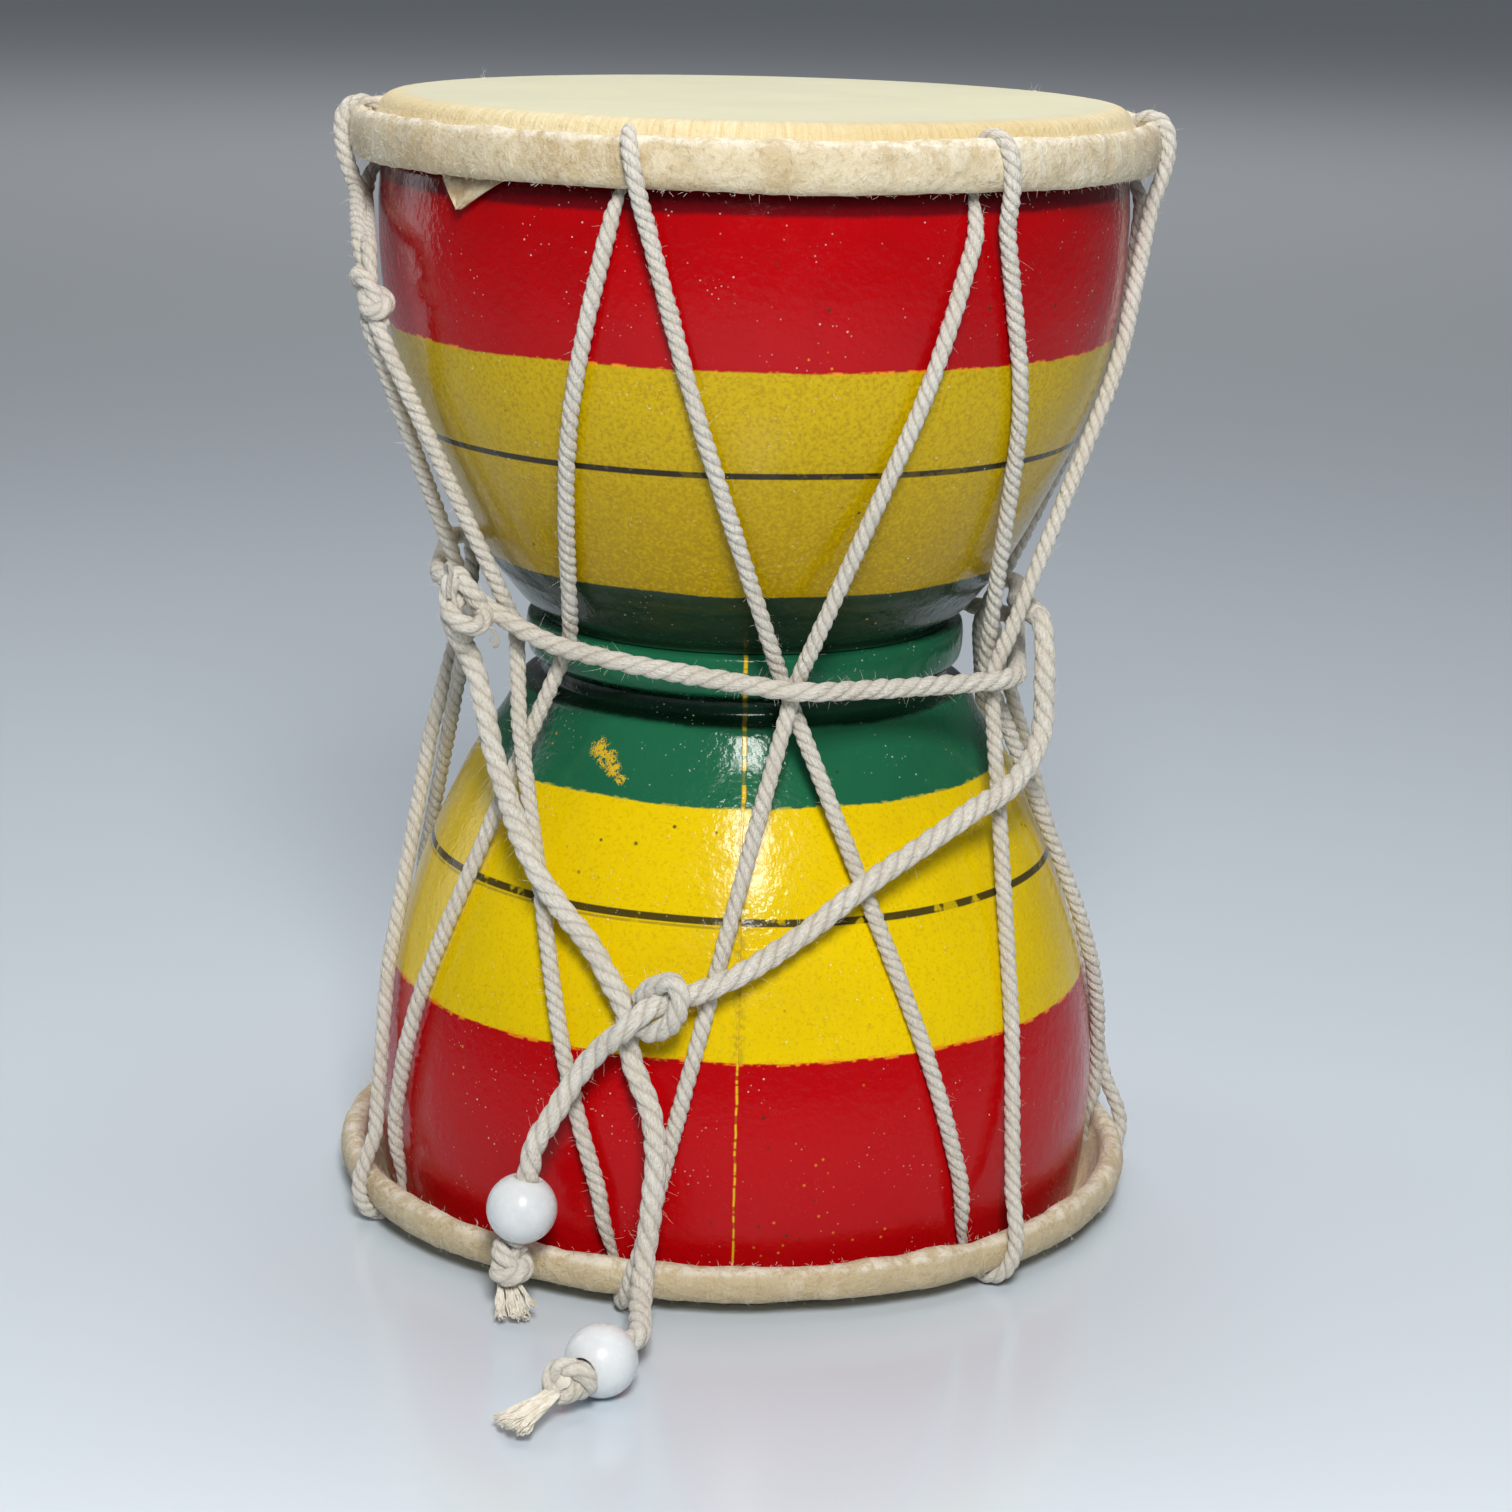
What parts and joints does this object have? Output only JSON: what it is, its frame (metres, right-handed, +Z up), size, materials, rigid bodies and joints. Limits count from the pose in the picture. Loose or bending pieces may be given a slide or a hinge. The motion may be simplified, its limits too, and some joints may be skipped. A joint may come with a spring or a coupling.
{
  "type": "hourglass hand drum",
  "caption": "Damaru hand drum: painted hourglass shell, rope-laced skin heads and cord strikers with white beads",
  "frame": {"origin": "centre of the bottom head's outer face, where the drum stands on a table", "axes": "+Z up along the drum's axis, -Y the front that the strikers hang on, +X to the right seen from the front"},
  "size_m": [0.152, 0.2007, 0.2035],
  "materials": {
    "shell_paint": "turned wood in gloss enamel: red ends, yellow and green bands with black lines",
    "skin": "translucent raw skin, rolled edge over a hoop",
    "cane": "bare split cane",
    "cotton_rope": "twisted undyed cotton",
    "white_bead": "opaque glossy white"
  },
  "bodies": {
    "drum": {"shell_upper": "shell_paint", "shell_lower": "shell_paint", "top_head_skin": "skin", "top_hoop": "cane", "bottom_head_skin": "skin", "bottom_hoop": "cane", "lacing_cord": "cotton_rope", "lacing_end_loop": "cotton_rope", "lacing_knot": "cotton_rope", "waist_cord": "cotton_rope", "waist_knot": "cotton_rope"},
    "strikers": {"tail_left": "cotton_rope", "tail_right_upper": "cotton_rope", "tail_knot": "cotton_rope", "tail_right_lower": "cotton_rope", "end_knot_1": "cotton_rope", "end_knot_2": "cotton_rope", "tassel_1": "cotton_rope", "tassel_2": "cotton_rope"},
    "bead_1": {"bead_1": "white_bead"},
    "bead_2": {"bead_2": "white_bead"}
  },
  "joints": [
    {"name": "striker_swing", "type": "hinge", "parent": "drum", "child": "strikers", "pos_m": [0.051, -0.0196, 0.1138], "axis": [-0.9917, -0.1168, -0.0534], "range_deg": [0, 70]},
    {"name": "bead_1_slide", "type": "slide", "parent": "strikers", "child": "bead_1", "axis": [0.1801, 0.08, 0.9804], "range_m": [0, 0.005]},
    {"name": "bead_2_slide", "type": "slide", "parent": "strikers", "child": "bead_2", "axis": [0.5, 0.866, 0], "range_m": [0, 0.005]}
  ]
}
